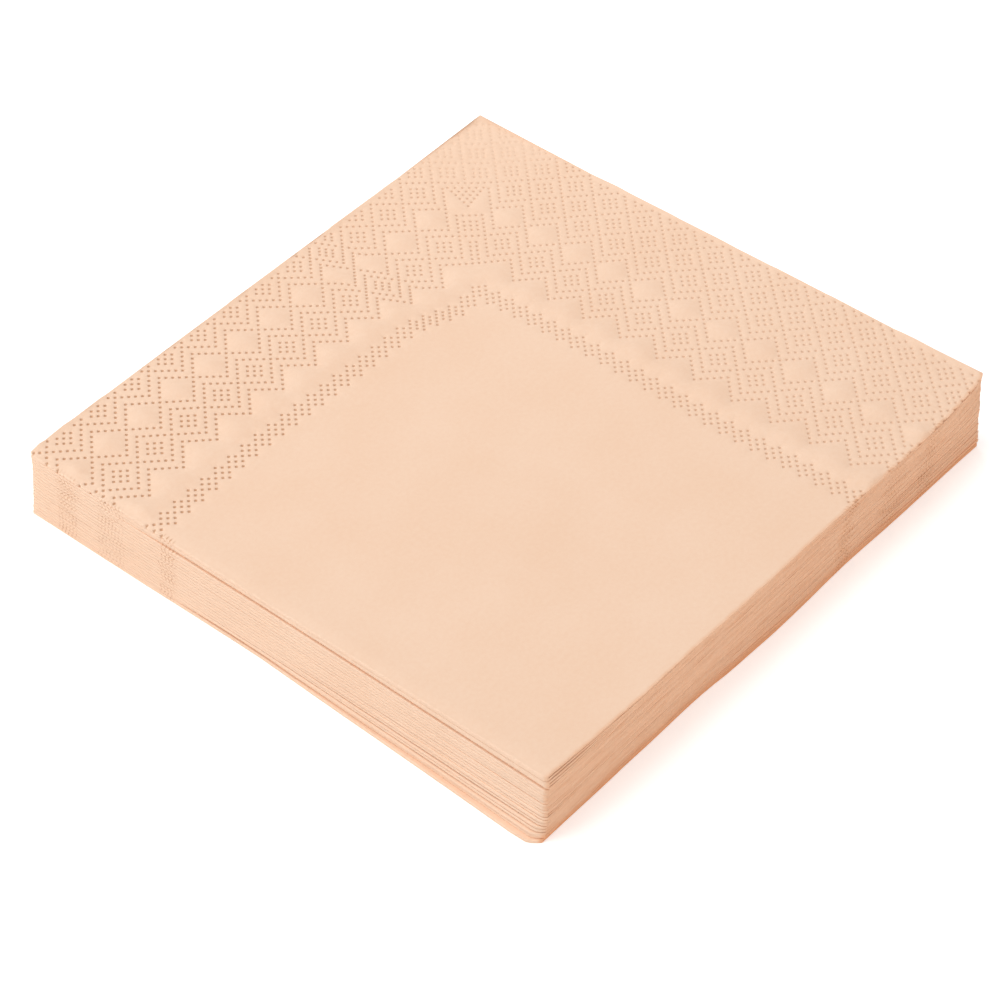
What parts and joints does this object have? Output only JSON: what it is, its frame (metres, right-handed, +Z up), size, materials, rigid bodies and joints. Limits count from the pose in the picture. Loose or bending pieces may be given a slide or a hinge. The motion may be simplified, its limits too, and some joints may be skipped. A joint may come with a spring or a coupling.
{
  "type": "stack of paper napkins",
  "caption": "Square stack of peach tissue napkins, each folded in quarters, with a dotted diamond border embossed along the two open edges.",
  "frame": {"origin": "middle of the stack's underside, under the middle of an unslipped napkin", "axes": "+Z up through the stack; +X from the second folds to the open edges across them; +Y from the first folds to the open edges across them"},
  "size_m": [0.1667, 0.1589, 0.022],
  "materials": {
    "tissue": "matte dyed tissue paper"
  },
  "bodies": {
    "root": {"napkin_01": "tissue", "napkin_02": "tissue", "napkin_03": "tissue", "napkin_04": "tissue", "napkin_05": "tissue", "napkin_06": "tissue", "napkin_07": "tissue", "napkin_08": "tissue", "napkin_09": "tissue", "napkin_10": "tissue", "napkin_11": "tissue", "napkin_12": "tissue", "napkin_13": "tissue", "napkin_14": "tissue", "napkin_15": "tissue", "napkin_16": "tissue", "napkin_17": "tissue", "napkin_18": "tissue", "napkin_19": "tissue", "napkin_20": "tissue"}
  },
  "joints": []
}
